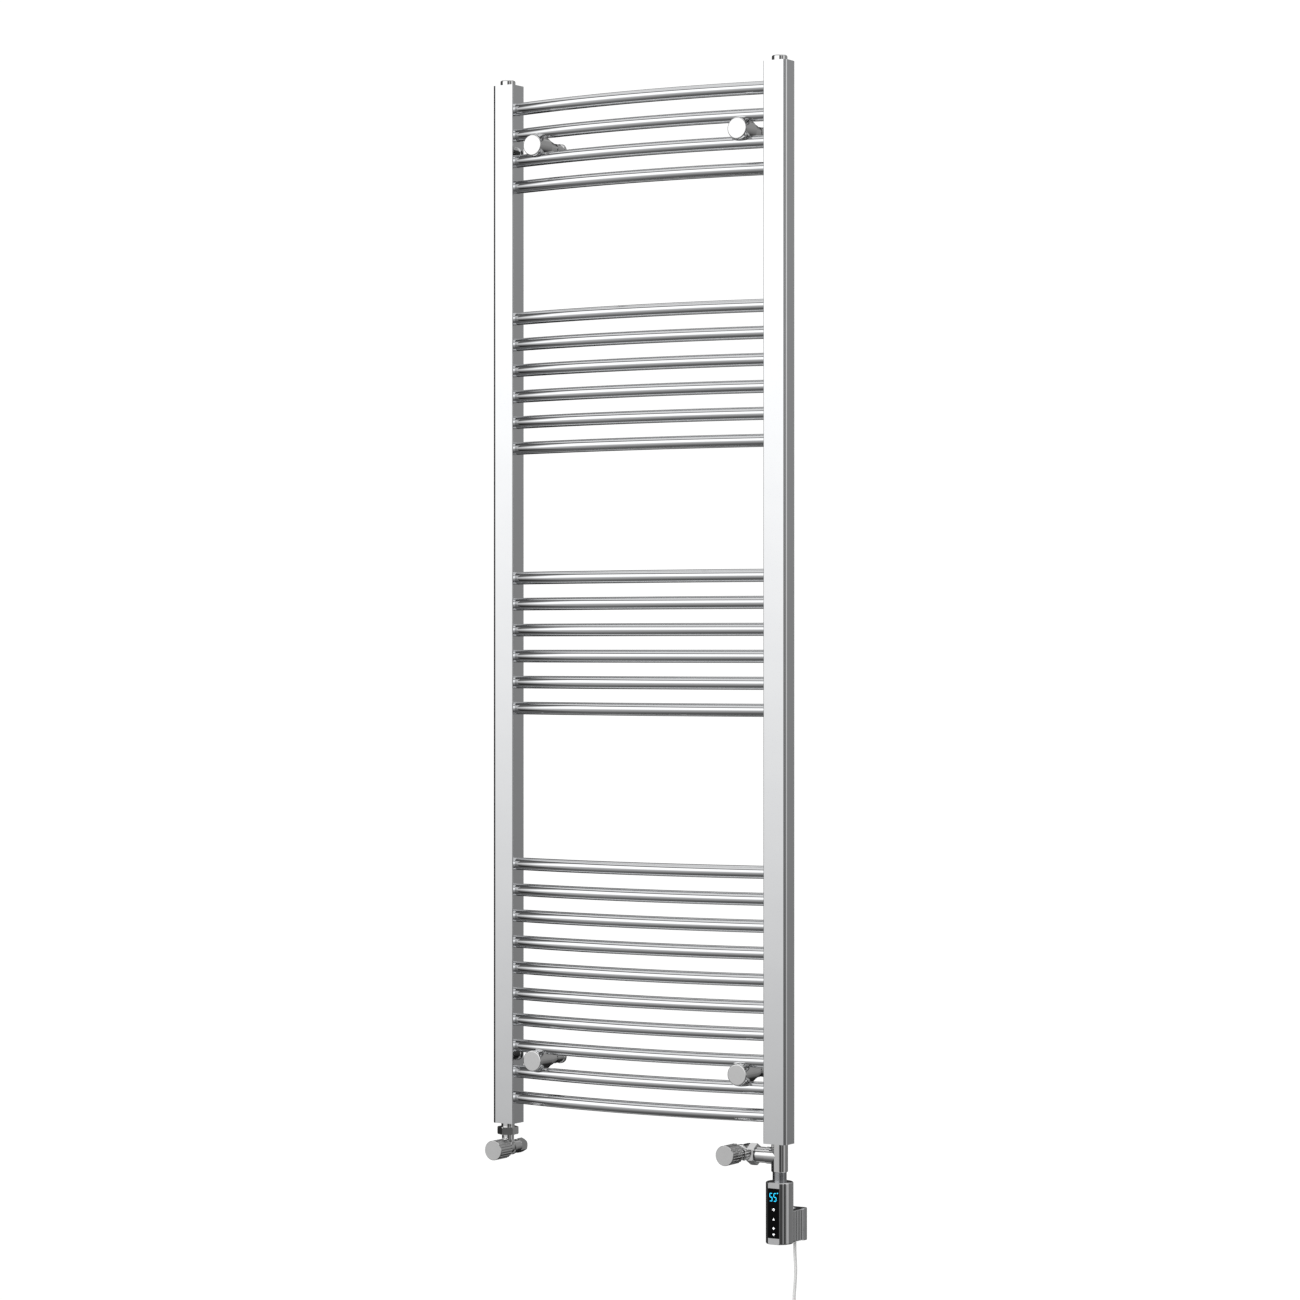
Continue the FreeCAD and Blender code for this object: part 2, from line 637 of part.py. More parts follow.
part(
    "display_glass",
    box("glass", glass_size, (UPRIGHT_X, glass_y, glass_low)),
)
board_y = f"({MIDDLE} - 11)"
board = box("board_sheet", ("25", "1.6", "86"), (UPRIGHT_X, board_y, f"{head_low} + 8"))
relay = box("relay", ("15", "10", "19"), (UPRIGHT_X, f"{board_y} + 5.8", f"{head_low} + 40"))
part("control_board", fuse("board", board, relay))


# ---- cable cover behind the head, and the gland of the lead ----

cover_low = f"({head_low} + 0.8)"
cover_mid = box("cover_mid", ("34", "34", "52"), (UPRIGHT_X, f"{MIDDLE} + 31", cover_low))
cover_end = box("cover_end", ("40", "10", "54.5"), (UPRIGHT_X, f"{MIDDLE} + 53", f"{cover_low} - 1.2"))
cover_mid = round_edges("cover_mid_round", cover_mid, 2.0, lambda e: e.BoundBox.YLength > 33)
cover_end = round_edges("cover_end_round", cover_end, 1.6, lambda e: e.BoundBox.YLength > 9)
ridge_low = f"{cover_low} + 1.5"
ridges = []
for side in (-1, 1):
    for depth in (28, 36, 44):
        name = f"ridge_{len(ridges) + 1}"
        ridge_x = f"{UPRIGHT_X} + {side} * 16.9"
        ridges.append(cylinder(name, "1.6", "49", ridge_x, f"{MIDDLE} + {depth}", ridge_low))
cover_blank = fuse("cover_blank", cover_mid, cover_end, *ridges)
cover_room = box("cover_room", ("30", "46", "48"), (UPRIGHT_X, f"{MIDDLE} + 33", f"{cover_low} + 2"))
drum_body = cylinder("drum_body", "head_radius", "head_length + 40", UPRIGHT_X, MIDDLE, f"{head_low} - 20")
lead_hole = cylinder("lead_hole", "4.2", "32", UPRIGHT_X, f"{MIDDLE} + 52", f"{cover_low} - 10")
part("cable_cover", cut("cover", cover_blank, fuse("cover_spaces", cover_room, drum_body, lead_hole)))

gland_low = f"({cover_low} - 3.0)"
gland_top = cylinder("gland_top", "4.2", "19", UPRIGHT_X, f"{MIDDLE} + 52", f"{gland_low} + 1.8")
gland_tip = cone("gland_tip", "3.4", "4.2", "1.8", UPRIGHT_X, f"{MIDDLE} + 52", gland_low)
part("cord_gland", fuse("gland", gland_top, gland_tip))


# ---- mains lead: hangs from the gland, its spare length folded into a tied hank with the plug below ----

exit_x = (S["width_over"] - S["upright_width"]) / 2
exit_y = -S["front_gap"] + S["upright_depth"] / 2 + 52.0
exit_z = head_high_z - S["head_length"] + 0.8 - 3.0
cord_route = [
    (0.0, 0.0, 0.0),
    (0.0, 0.0, -22.0),
    (2.1, -0.5, -46.0),
    (1.5, -1.4, -70.0),
    (0.1, -3.0, -93.0),
    (0.1, -3.0, -114.0),
]


def cord_wire(points):
    """Straight runs joined by tangent arcs, each as large as its two runs allow."""
    edges = []
    start = points[0]
    for before, corner, after in zip(points, points[1:], points[2:]):
        run_in = (corner - before)
        run_out = (after - corner)
        shorter = min(run_in.Length, run_out.Length)
        run_in.normalize()
        run_out.normalize()
        turn = run_in.getAngle(run_out)
        reach = 0.45 * shorter
        radius = reach / math.tan(turn / 2)
        print(f"cord bend radius {radius:.0f} mm")
        entry = corner - run_in * reach
        leave = corner + run_out * reach
        inward = run_out - run_in
        inward.normalize()
        depth = radius / math.cos(turn / 2) - radius
        middle = corner + inward * depth
        edges.append(Part.LineSegment(start, entry).toShape())
        edges.append(Part.Arc(entry, middle, leave).toShape())
        start = leave
    edges.append(Part.LineSegment(start, points[-1]).toShape())
    return Part.Wire(edges)


route = [Vector(exit_x + x, exit_y + y, exit_z + z) for x, y, z in cord_route]
path = cord_wire(route)
direction = route[1] - route[0]
ring_wire = Part.Wire([Part.makeCircle(S["cord_radius"], route[0], direction)])
lead = path.makePipeShell([ring_wire], True, True)
section = math.pi * S["cord_radius"] ** 2
print(f"cord tube volume / (section x length) = {lead.Volume / (section * path.Length):.4f}")
mains_cord = doc.addObject("Part::Feature", "mains_lead")
mains_cord.Shape = lead
part("mains_cord", mains_cord)

# The hank is an upright oval with a small flat at each end, where the lead enters and the plug hangs.
flat = 0.4
hank_x = route[-1].x
hank_y = route[-1].y
hank_top = route[-1].z
hank_low = hank_top - S["hank_height"]
end_radius = S["hank_width"] / 2
low_centre = hank_low - flat + end_radius
high_centre = hank_top + flat - end_radius
front_y = f"{hank_y} - hank_depth / 2"
middle_size = ("hank_width", "hank_depth", high_centre - low_centre)
oval = fuse(
    "hank_oval",
    box("hank_middle", middle_size, (hank_x, hank_y, low_centre)),
    cylinder("hank_low_end", "hank_width / 2", "hank_depth", hank_x, front_y, low_centre, "y"),
    cylinder("hank_high_end", "hank_width / 2", "hank_depth", hank_x, front_y, high_centre, "y"),
)
room_size = ("hank_width + 2", "hank_depth + 2", "hank_height")
hank_room = box("hank_room", room_size, (hank_x, hank_y, hank_low))
part("cord_hank", common("hank", oval, hank_room))

tie_z = hank_top - S["hank_height"] / 2 - 5
tie_out = box("tie_out", ("hank_width + 3", "hank_depth + 3", "10"), (hank_x, hank_y, tie_z))
tie_in = box("tie_in", ("hank_width", "hank_depth", "14"), (hank_x, hank_y, tie_z - 2))
part("cord_tie", cut("tie", tie_out, tie_in))

# The plug is a flat one with two round pins, hanging pins down.
relief_low = hank_low - 14
plug_low = relief_low - 32
plug_relief = cone("plug_relief", "5.4", "3.6", "15", hank_x, hank_y, f"{relief_low} - 1")
plug_block = box("plug_block", ("35.5", "13.6", "32"), (hank_x, hank_y, plug_low))
plug_block = bevel_edges(
    "plug_shoulders", plug_block, 10.5,
    lambda e: e.BoundBox.YLength > 13 and e.CenterOfMass.z > relief_low - 1,
)
plug_block = round_edges("plug_soft", plug_block, 1.6, lambda e: e.BoundBox.YLength < 0.1)
pins = []
for offset in (-9.5, 9.5):
    name = f"pin_{len(pins) + 1}"
    pin = cylinder(name, "2.4", "20", hank_x + offset, hank_y, plug_low - 19)
    pins.append(round_edges(f"{name}_tip", pin, 1.2, lambda e: e.CenterOfMass.z < plug_low - 18))
part("mains_plug", fuse("plug", plug_relief, plug_block, *pins))


# ---- check everything, then write one STEP file for each piece ----

doc.recompute()
for item in doc.Objects:
    if "Invalid" in item.State or "Error" in item.State:
        raise RuntimeError(f"{item.Name} failed: {item.State}")
for name, item in parts.items():
    shape = item.Shape
    if shape.isNull() or not shape.isValid() or not shape.Solids:
        raise RuntimeError(f"{name} has no valid solid")
os.makedirs("parts", exist_ok=True)
for name, item in parts.items():
    item.Shape.exportStep(f"parts/{name}.step")
print(f"{len(parts)} pieces written")
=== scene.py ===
import bmesh
import bpy
import json
import math
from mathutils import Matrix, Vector


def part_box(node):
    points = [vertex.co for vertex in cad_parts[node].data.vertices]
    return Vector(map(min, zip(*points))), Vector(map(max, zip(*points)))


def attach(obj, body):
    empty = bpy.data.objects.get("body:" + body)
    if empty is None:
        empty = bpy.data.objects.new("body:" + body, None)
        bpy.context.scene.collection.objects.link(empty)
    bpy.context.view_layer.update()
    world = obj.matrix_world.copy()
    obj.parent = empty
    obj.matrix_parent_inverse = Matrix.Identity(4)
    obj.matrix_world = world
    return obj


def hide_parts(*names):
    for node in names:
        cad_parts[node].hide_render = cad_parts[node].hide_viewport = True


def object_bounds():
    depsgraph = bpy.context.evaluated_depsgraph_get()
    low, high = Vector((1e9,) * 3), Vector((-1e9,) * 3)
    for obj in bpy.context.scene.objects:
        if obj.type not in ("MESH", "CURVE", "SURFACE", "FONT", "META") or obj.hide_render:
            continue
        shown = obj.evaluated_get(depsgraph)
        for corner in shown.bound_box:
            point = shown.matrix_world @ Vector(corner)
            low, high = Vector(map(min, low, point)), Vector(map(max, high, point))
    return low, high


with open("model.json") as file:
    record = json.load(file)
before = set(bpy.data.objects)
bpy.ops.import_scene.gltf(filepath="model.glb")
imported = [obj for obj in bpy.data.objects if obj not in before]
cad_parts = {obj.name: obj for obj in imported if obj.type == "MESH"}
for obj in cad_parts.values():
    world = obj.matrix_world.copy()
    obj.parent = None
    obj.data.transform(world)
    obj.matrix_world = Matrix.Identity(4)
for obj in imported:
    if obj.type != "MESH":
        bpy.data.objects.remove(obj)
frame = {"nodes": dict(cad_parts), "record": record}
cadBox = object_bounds()
nodes = frame["nodes"]
mm = 0.001
print("frame loaded:", len(nodes), "parts")


def corners(name):
    low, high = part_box(name)
    return Vector(low), Vector(high)


def link(piece):
    bpy.context.scene.collection.objects.link(piece)
    return piece


camera = {"place": (3.3298, -5.5168, -0.0809), "turn": 31.28, "lens": 104.02, "sensor": 36.0}
view = link(bpy.data.objects.new("camera", bpy.data.cameras.new("camera")))
view.data.lens = camera["lens"]
view.data.sensor_width = camera["sensor"]
view.data.dof.use_dof = False
view.location = camera["place"]
view.rotation_euler = (math.radians(90), 0, math.radians(camera["turn"]))
bpy.context.scene.camera = view
bpy.context.scene.view_settings.view_transform = "Standard"
print("camera placed")


def addNode(tree, kind, inputs=None, **settings):
    node = tree.nodes.new(kind)
    for name, value in settings.items():
        setattr(node, name, value)      # before the inputs, because a node's kind of data changes its sockets
    for key, value in (inputs or {}).items():
        if isinstance(value, bpy.types.NodeSocket):
            tree.links.new(value, node.inputs[key])
        else:
            node.inputs[key].default_value = value
    return node


def linear(hexText):
    values = [int(hexText[k:k + 2], 16) / 255 for k in (1, 3, 5)]
    return [v / 12.92 if v <= 0.04045 else ((v + 0.055) / 1.055) ** 2.4 for v in values] + [1.0]


def fillRamp(ramp, stops):
    while len(ramp.elements) > 1:
        ramp.elements.remove(ramp.elements[-1])
    ramp.elements[0].position, level = stops[0]
    ramp.elements[0].color = (level, level, level, 1)
    for position, level in stops[1:]:
        ramp.elements.new(position).color = (level, level, level, 1)


# Mains lead: one smooth line from the gland, its spare length wound into an upright hank.
# Sizes are in mm, but the length in metres.
lead = {
    "thickness": 5.2,
    "length": 1.49,
    "drop": [(0, 0, 0), (0, 0, -22), (2.1, -0.5, -46), (1.5, -1.4, -70), (0.1, -3.0, -93), (0.1, -3.0, -114)],
    "turns": 4,
    "rise": 4.8,            # from one turn of the hank to the next, along Y
    "foldOuter": 18.2,      # bend radii of every other turn
    "foldInner": 16.9,
    "cornerAngles": (75, 45, 15, -15, -45, -75),
    "runPoints": 3,
    "runShare": 0.62,       # of a straight run, from its middle out to its end points
    "clearance": 0.4,       # inside the hank's ends
    "toPlug": [(4, -6, 17), (0, 0, 5), (0, 0, 0)],      # from the middle of the hank's lower end
}
glandLow, glandHigh = corners("cord_gland")
leadExit = Vector(((glandLow.x + glandHigh.x) / 2, (glandLow.y + glandHigh.y) / 2, glandLow.z))
hankLow, hankHigh = corners("cord_hank")
leadPoints = [leadExit + Vector(p) * mm for p in lead["drop"]]

hankMiddle = (hankLow + hankHigh) / 2
hankReach = (hankHigh.z - hankLow.z) / 2 - (lead["thickness"] / 2 + lead["clearance"]) * mm
turnAngles = [math.radians(angle) for angle in lead["cornerAngles"]]
halfStep = (turnAngles[0] - turnAngles[1]) / 2
turnPoints = []             # each turn goes down on the right and up on the left, seen from the front
for turn in range(lead["turns"] + 1):
    fold = (lead["foldOuter"] if turn % 2 == 0 else lead["foldInner"]) * mm
    runEnd = hankReach - fold
    cornerReach = fold / math.cos(halfStep)
    lastPoint = lead["runPoints"] - 1
    run = [runEnd * lead["runShare"] * (1 - 2 * k / lastPoint) for k in range(lead["runPoints"])]
    turnPoints += [(fold, up) for up in run]
    if turn == lead["turns"]:
        break
    turnPoints += [(cornerReach * math.sin(a), -runEnd - cornerReach * math.cos(a)) for a in turnAngles]
    turnPoints += [(-fold, -up) for up in run]
    turnPoints += [(-cornerReach * math.sin(a), runEnd + cornerReach * math.cos(a)) for a in turnAngles]
perTurn = 2 * (lead["runPoints"] + len(turnAngles))
depthStart = -lead["rise"] * lead["turns"] / 2
for k, (across, up) in enumerate(turnPoints):
    depth = (depthStart + lead["rise"] * k / perTurn) * mm
    leadPoints.append(hankMiddle + Vector((across, -depth, up)))
hankFoot = Vector((hankMiddle.x, hankMiddle.y, hankLow.z))
leadPoints += [hankFoot + Vector(p) * mm for p in lead["toPlug"]]

leadCurve = bpy.data.curves.new("mainsLead", "CURVE")
leadCurve.dimensions = "3D"
leadLine = leadCurve.splines.new("NURBS")
leadLine.points.add(len(leadPoints) - 1)
for point, place in zip(leadLine.points, leadPoints):
    point.co = (*place, 1)
leadLine.order_u = 3
leadLine.use_endpoint_u = True
leadLine.resolution_u = 8
leadCurve.bevel_depth = lead["thickness"] / 2 * mm
leadCurve.bevel_resolution = 5
leadCurve.use_fill_caps = True
mainsLead = link(bpy.data.objects.new("mainsLead", leadCurve))
print("lead laid:", len(leadPoints), "points")


def startMaterial(name):
    material = bpy.data.materials.new(name)
    material.use_nodes = True
    tree = material.node_tree
    tree.nodes.clear()
    out = addNode(tree, "ShaderNodeOutputMaterial")
    shader = addNode(tree, "ShaderNodeBsdfPrincipled")
    tree.links.new(shader.outputs["BSDF"], out.inputs["Surface"])
    place = addNode(tree, "ShaderNodeTexCoord").outputs["Object"]
    return material, shader, tree, place


def spread(tree, value, low, high):
    node = addNode(tree, "ShaderNodeMapRange", {"Value": value, "To Min": low, "To Max": high})
    return node.outputs["Result"]


def grain(tree, place, sizeInMm, detail=2.0):
    noise = addNode(tree, "ShaderNodeTexNoise", {"Vector": place, "Scale": 1000 / sizeInMm, "Detail": detail})
    return noise.outputs[0]


def tinted(tree, shader, patches, colour, shade):
    mix = addNode(tree, "ShaderNodeMix", {"Factor": patches}, data_type="RGBA")
    mix.inputs[6].default_value = linear(colour)
    mix.inputs[7].default_value = linear(shade)
    tree.links.new(mix.outputs[2], shader.inputs["Base Color"])


def dent(tree, shader, height, depthInMm, strength):
    bump = addNode(tree, "ShaderNodeBump", {"Height": height, "Distance": depthInMm * mm, "Strength": strength})
    tree.links.new(bump.outputs["Normal"], shader.inputs["Normal"])


fineShare = 0.06            # height of a metal's fine marks beside its long wave
patchWidth = 40             # a plastic's patches of shade, in grains


# Sizes in mm: smudge is a patch of slightly different polish, wave the surface's long wave, fine its tool marks.
def metal(name, colour, tint, roughLow, roughHigh, smudge, wave, waveDepth, fine=0.0):
    material, shader, tree, place = startMaterial(name)
    shader.inputs["Metallic"].default_value = 1.0
    patches = grain(tree, place, smudge, 3.0)
    tinted(tree, shader, patches, colour, tint)
    tree.links.new(spread(tree, patches, roughLow, roughHigh), shader.inputs["Roughness"])
    height = grain(tree, place, wave, 1.0)
    if fine:
        marks = {0: grain(tree, place, fine), 1: fineShare, 2: height}
        height = addNode(tree, "ShaderNodeMath", marks, operation="MULTIPLY_ADD").outputs[0]
    dent(tree, shader, height, waveDepth, 0.5)
    return material


# Texture and depth are the size and height of the surface's grain in mm, gloss its specular level.
def plastic(name, colour, shade, roughLow, roughHigh, texture, depth, gloss=0.5):
    material, shader, tree, place = startMaterial(name)
    patches = grain(tree, place, texture * patchWidth)
    tinted(tree, shader, patches, colour, shade)
    tree.links.new(spread(tree, patches, roughLow, roughHigh), shader.inputs["Roughness"])
    shader.inputs["IOR"].default_value = 1.47
    shader.inputs["Specular IOR Level"].default_value = gloss
    dent(tree, shader, grain(tree, place, texture), depth, 0.4)
    return material


def lamp(name, colour, strength):
    material, shader = startMaterial(name)[:2]
    shader.inputs["Base Color"].default_value = linear(colour)
    shader.inputs["Emission Color"].default_value = linear(colour)
    shader.inputs["Emission Strength"].default_value = strength
    shader.inputs["Roughness"].default_value = 0.35
    return material


# Bright chrome plate over buffed steel tube: a mirror with a very faint long wave left by the buffing wheel.
chromeOnSteel = metal("brightChromeOnSteelTube", "#F1F2F3", "#EBECEE", 0.02, 0.045, 55, 70, 0.015)
# Chrome plate over turned or forged brass: a little warmer and less even than the tube.
chromeOnBrass = metal("brightChromeOnBrassFitting", "#F0F0F0", "#E6E6E6", 0.04, 0.08, 14, 16, 0.006)
# Plated ABS moulding: softer reflections, with a slight orange-peel skin.
chromeOnAbs = metal("chromePlatedAbs", "#EDEDEE", "#E3E4E5", 0.05, 0.09, 18, 22, 0.008)
# Turned, unplated steel: grey, with a soft wide highlight from the fine tool marks.
turnedSteel = metal("turnedSteel", "#B9BBBE", "#A4A6A9", 0.22, 0.36, 6, 4, 0.01, 0.4)
# Machined brass inside the valves: dull yellow, with the same soft highlight.
machinedBrass = metal("machinedBrass", "#D9B36A", "#C49A50", 0.24, 0.38, 6, 4, 0.01, 0.4)
# Flat glass painted black on its back: deep even black, with only a faint sharp reflection.
blackGlass = plastic("backPaintedBlackGlass", "#030304", "#060607", 0.03, 0.06, 4, 0.001, gloss=0.08)
# Glass-epoxy board under solder mask: semi-gloss green over a fine weave.
boardEpoxy = plastic("solderMaskedBoard", "#0F5A33", "#0B4728", 0.35, 0.5, 1.5, 0.02)
# Moulded nylon: pale grey and slightly waxy.
glandNylon = plastic("mouldedNylonGland", "#E4E4E2", "#DADAD8", 0.38, 0.5, 0.6, 0.02)
# Extruded soft PVC: an even pale sheath with a dull sheen and a faint skin texture.
leadPvc = plastic("softPvcSheath", "#E3E3E2", "#D6D6D6", 0.36, 0.48, 0.9, 0.03)
# Black nylon: near black, half matt.
tieNylon = plastic("blackNylonTie", "#161617", "#202021", 0.42, 0.55, 0.8, 0.02)
# Injection-moulded PVC: pale like the lead, with a finely sparked surface.
plugPvc = plastic("mouldedPvcPlug", "#E2E2E0", "#D8D8D6", 0.38, 0.5, 0.7, 0.03)
# Lit segments and backlit symbols: flat even light behind the glass.
litDigits = lamp("cyanDisplaySegments", "#1FC3F0", 1.0)
litSymbols = lamp("whiteBacklitSymbols", "#E9EBEC", 0.75)

finishes = {
    "chrome_tube": chromeOnSteel,
    "chrome_fitting": chromeOnBrass,
    "steel": turnedSteel,
    "brass": machinedBrass,
    "head_shell": chromeOnAbs,
    "display_glass": blackGlass,
    "circuit_board": boardEpoxy,
    "cover_plastic": chromeOnAbs,
    "gland_plastic": glandNylon,
    "cord_pvc": leadPvc,
    "tie_plastic": tieNylon,
    "plug_plastic": plugPvc,
}
for row in frame["record"]["subparts"]:
    part = nodes[row["node"]]
    if not part.data.materials:
        part.data.materials.append(finishes[row["material_slot"]])
    for slotNumber in range(len(part.material_slots)):
        part.material_slots[slotNumber].material = finishes[row["material_slot"]]
leadCurve.materials.append(leadPvc)
print("materials made:", len(finishes))


def startTree(name, sizes):
    tree = bpy.data.node_groups.new(name, "GeometryNodeTree")
    tree.interface.new_socket("Points", in_out="INPUT", socket_type="NodeSocketGeometry")
    for label, value in sizes.items():
        tree.interface.new_socket(label, in_out="INPUT", socket_type="NodeSocketFloat").default_value = value
    tree.interface.new_socket("Finish", in_out="INPUT", socket_type="NodeSocketMaterial")
    tree.interface.new_socket("Mesh", in_out="OUTPUT", socket_type="NodeSocketGeometry")
    return tree, addNode(tree, "NodeGroupInput").outputs


def endTree(tree, instances, source, smooth=True):
    real = addNode(tree, "GeometryNodeRealizeInstances", {"Geometry": instances})
    shaded = addNode(tree, "GeometryNodeSetShadeSmooth", {"Geometry": real.outputs[0], "Shade Smooth": smooth})
    finished = addNode(
        tree, "GeometryNodeSetMaterial", {"Geometry": shaded.outputs[0], "Material": source["Finish"]}
    )
    addNode(tree, "NodeGroupOutput", {"Mesh": finished.outputs[0]})


def grow(name, tree, places, finish, sizes):
    start = bpy.data.meshes.new(name + "Points")
    start.from_pydata([tuple(p) for p in places], [], [])
    piece = link(bpy.data.objects.new(name, start))
    modifier = piece.modifiers.new(tree.name, "NODES")
    modifier.node_group = tree
    for item in tree.interface.items_tree:
        if item.in_out == "INPUT" and item.name in sizes:
            modifier[item.identifier] = float(sizes[item.name])
        if item.in_out == "INPUT" and item.name == "Finish":
            modifier[item.identifier] = finish
    graph = bpy.context.evaluated_depsgraph_get()
    made = bpy.data.meshes.new_from_object(piece.evaluated_get(graph), depsgraph=graph)
    piece.modifiers.clear()
    piece.data = made
    print("grown:", name, len(made.polygons), "faces")
    return piece


def finishPiece(piece, replaced=(), body="radiator"):
    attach(piece, body)
    if replaced:
        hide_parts(*replaced)


def pieceFrom(name, mesh, finish, replaced=()):
    made = bpy.data.meshes.new(name)
    bmesh.ops.recalc_face_normals(mesh, faces=mesh.faces)
    mesh.to_mesh(made)
    mesh.free()
    made.materials.append(finish)
    piece = link(bpy.data.objects.new(name, made))
    finishPiece(piece, replaced)
    return piece


# Bars: one bowed tube, swept along an arc and repeated at every level.
barNames = sorted(name for name in nodes if name.startswith("bar_"))
firstLow, firstHigh = corners(barNames[0])
bars = {
    "Tube Radius": (firstHigh.z - firstLow.z) / 2,
    "Half Span": firstHigh.x,
    "End Depth": firstHigh.y - (firstHigh.z - firstLow.z) / 2,
    "Middle Depth": firstLow.y + (firstHigh.z - firstLow.z) / 2,
}
barTree, source = startTree("bowedBars", bars)
facets = {"barLength": 56, "barRound": 40, "ringRound": 32, "beadRound": 8, "ribRound": 28}
leftEnd = addNode(barTree, "ShaderNodeMath", {0: source["Half Span"], 1: -1.0}, operation="MULTIPLY")
ends = [
    addNode(barTree, "ShaderNodeCombineXYZ", {"X": leftEnd.outputs[0], "Y": source["End Depth"]}),
    addNode(barTree, "ShaderNodeCombineXYZ", {"Y": source["Middle Depth"]}),
    addNode(barTree, "ShaderNodeCombineXYZ", {"X": source["Half Span"], "Y": source["End Depth"]}),
]
arc = addNode(barTree, "GeometryNodeCurveArc", mode="POINTS")
arc.inputs["Resolution"].default_value = facets["barLength"]
for socket, end in zip(("Start", "Middle", "End"), ends):
    barTree.links.new(end.outputs[0], arc.inputs[socket])
section = addNode(
    barTree, "GeometryNodeCurvePrimitiveCircle",
    {"Resolution": facets["barRound"], "Radius": source["Tube Radius"]},
)
tube = addNode(
    barTree, "GeometryNodeCurveToMesh",
    {"Curve": arc.outputs["Curve"], "Profile Curve": section.outputs["Curve"], "Fill Caps": True},
)
repeated = addNode(
    barTree, "GeometryNodeInstanceOnPoints", {"Points": source["Points"], "Instance": tube.outputs[0]}
)
endTree(barTree, repeated.outputs[0], source)
levels = [(corners(name)[0].z + corners(name)[1].z) / 2 for name in barNames]
barLadder = grow("barLadder", barTree, [(0, 0, level) for level in levels], chromeOnSteel, bars)
finishPiece(barLadder, barNames)

# Brazed joints: a thin ring where each bar enters an upright, leaning with the bar's end.
barEnd = abs(corners("upright_left")[1].x)
seat = {"depthBack": 0.4 * mm, "outside": 0.1 * mm}     # of the rings on the tilted ends
joints = {
    "Ring Radius": bars["Tube Radius"] + 0.1 * mm,
    "Bead Radius": 0.3 * mm,
    "Lean": math.radians(10.5),
}
beadTree, source = startTree("brazedRings", joints)
ringLine = addNode(
    beadTree, "GeometryNodeCurvePrimitiveCircle",
    {"Resolution": facets["ringRound"], "Radius": source["Ring Radius"]},
)
beadLine = addNode(
    beadTree, "GeometryNodeCurvePrimitiveCircle",
    {"Resolution": facets["beadRound"], "Radius": source["Bead Radius"]},
)
bead = addNode(
    beadTree, "GeometryNodeCurveToMesh",
    {"Curve": ringLine.outputs["Curve"], "Profile Curve": beadLine.outputs["Curve"]},
)
position = addNode(beadTree, "GeometryNodeInputPosition")
where = addNode(beadTree, "ShaderNodeSeparateXYZ", {0: position.outputs[0]})
side = addNode(beadTree, "ShaderNodeMath", {0: where.outputs["X"]}, operation="SIGN")
lean = addNode(beadTree, "ShaderNodeMath", {0: side.outputs[0], 1: source["Lean"]}, operation="MULTIPLY")
turned = addNode(beadTree, "ShaderNodeCombineXYZ", {"Y": math.pi / 2, "Z": lean.outputs[0]})
rings = addNode(
    beadTree, "GeometryNodeInstanceOnPoints",
    {"Points": source["Points"], "Instance": bead.outputs[0], "Rotation": turned.outputs[0]},
)
endTree(beadTree, rings.outputs[0], source)
ringDepth = bars["End Depth"] - seat["depthBack"]
ringPlaces = [(sign * (barEnd + seat["outside"]), ringDepth, level) for level in levels for sign in (-1, 1)]
brazedRings = grow("brazedRings", beadTree, ringPlaces, chromeOnSteel, joints)
finishPiece(brazedRings)


# Cable cover: upright half-round ribs along both sides, for gripping it when it is pulled off.
coverLow, coverHigh = corners("cable_cover")
ribs = {"Rib Radius": 3.9 * mm, "Rib Height": 50.0 * mm}
ribPlaces = {"inset": 4.2 * mm, "fromBack": 13.0 * mm, "spacing": 8.0 * mm, "rows": 3, "lift": 1.7 * mm}
ribTree, source = startTree("coverRibs", ribs)
ribTop = addNode(ribTree, "ShaderNodeCombineXYZ", {"Z": source["Rib Height"]})
ribLine = addNode(ribTree, "GeometryNodeCurvePrimitiveLine", {"End": ribTop.outputs[0]})
ribSection = addNode(
    ribTree, "GeometryNodeCurvePrimitiveCircle",
    {"Resolution": facets["ribRound"], "Radius": source["Rib Radius"]},
)
rib = addNode(
    ribTree, "GeometryNodeCurveToMesh",
    {"Curve": ribLine.outputs["Curve"], "Profile Curve": ribSection.outputs["Curve"], "Fill Caps": True},
)
ribRow = addNode(
    ribTree, "GeometryNodeInstanceOnPoints", {"Points": source["Points"], "Instance": rib.outputs[0]}
)
endTree(ribTree, ribRow.outputs[0], source)
ribSides = (coverLow.x + ribPlaces["inset"], coverHigh.x - ribPlaces["inset"])
ribRows = [coverHigh.y - ribPlaces["fromBack"] - k * ribPlaces["spacing"] for k in range(ribPlaces["rows"])]
ribFeet = [(x, y, coverLow.z + ribPlaces["lift"]) for x in ribSides for y in ribRows]
coverRibs = grow("coverRibs", ribTree, ribFeet, chromeOnAbs, ribs)
finishPiece(coverRibs)

# Display: lit digits and key symbols on the glass.
glassLow, glassHigh = corners("display_glass")
display = {
    "front": glassLow.y - 0.02 * mm,
    "relief": 0.06 * mm,
    "digitHeight": 12.8,
    "digitWidth": 4.4,
    "stroke": 1.15,
    "slant": 0.02,
    "digitDrop": 14.6,      # top of the glass to the middle of the digits
    "digitOffsets": (-5.0, 2.6),
    "degree": (7.3, 7.0, 1.1),      # across, up and radius of the degree mark
    "keys": [("power", 35.2), ("up", 51.1), ("mode", 66.2), ("down", 76.6)],
    "keySize": 2.1,
}


